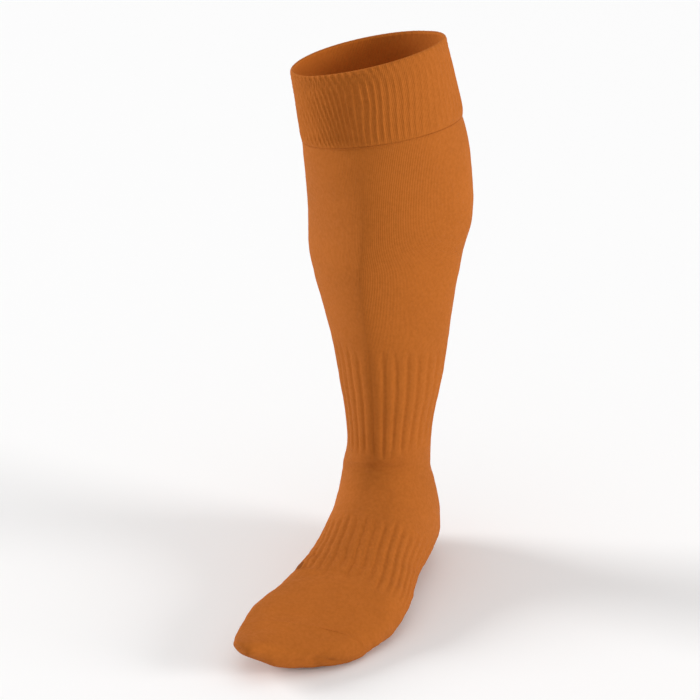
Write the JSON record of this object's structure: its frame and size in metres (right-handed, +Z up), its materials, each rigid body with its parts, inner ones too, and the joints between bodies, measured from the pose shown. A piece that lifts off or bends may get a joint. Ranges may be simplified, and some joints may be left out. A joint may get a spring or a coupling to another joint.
{
  "type": "sock",
  "caption": "Knee-high knitted football sock for the left foot, in its worn form, with a ribbed turned cuff, a plain shin, a ribbed ankle and arch, and a closed toe",
  "frame": {"origin": "middle of the cuff's opening, where the leg goes in", "axes": "+Z up along the leg, -Y towards the toes, +X towards the little toe of the left foot"},
  "size_m": [0.1314, 0.2873, 0.4007],
  "materials": {
    "ribbed_knit": "matt ribbed double knit in orange polyamide yarn",
    "jersey_knit": "matt plain knit in orange polyamide yarn",
    "seam_thread": "linked seam in the same yarn"
  },
  "bodies": {
    "root": {"cuff": "ribbed_knit", "leg": "jersey_knit", "foot": "jersey_knit", "toe": "jersey_knit", "toe_seam": "seam_thread"}
  },
  "joints": []
}
